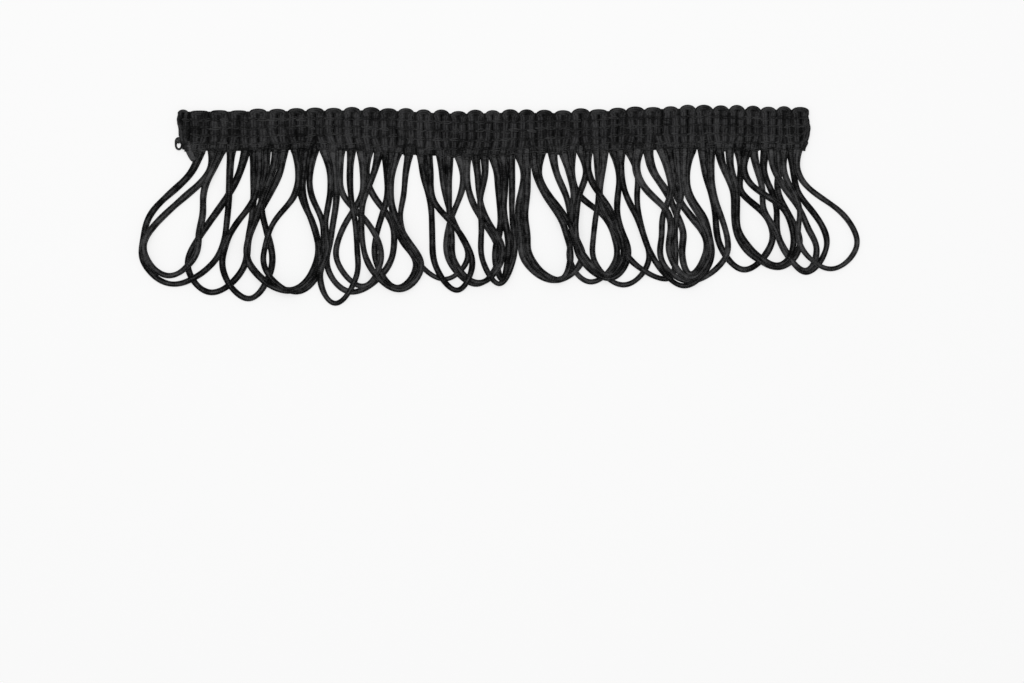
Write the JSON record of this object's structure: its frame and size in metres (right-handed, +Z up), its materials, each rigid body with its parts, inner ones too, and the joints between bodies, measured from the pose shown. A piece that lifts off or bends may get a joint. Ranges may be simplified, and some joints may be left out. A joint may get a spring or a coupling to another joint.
{
  "type": "cord fringe trim",
  "caption": "Cut length of looped cord fringe: a flat knitted heading with ribs and a scalloped edge, and long soft cord loops hanging from its other edge.",
  "frame": {"origin": "on the heading's flat back, at the middle of its length and about the middle of its depth", "axes": "+X along the heading, +Y toward its scalloped edge so that the loops lie toward -Y, +Z up from the surface that the trim lies on"},
  "size_m": [0.2288, 0.064, 0.0074],
  "materials": {
    "heading_yarn": "dull knitted yarn, near black",
    "loop_cord": "soft knitted cord with a faint sheen, near black"
  },
  "bodies": {
    "root": {"heading": "heading_yarn", "loop_fringe": "loop_cord"}
  },
  "joints": []
}
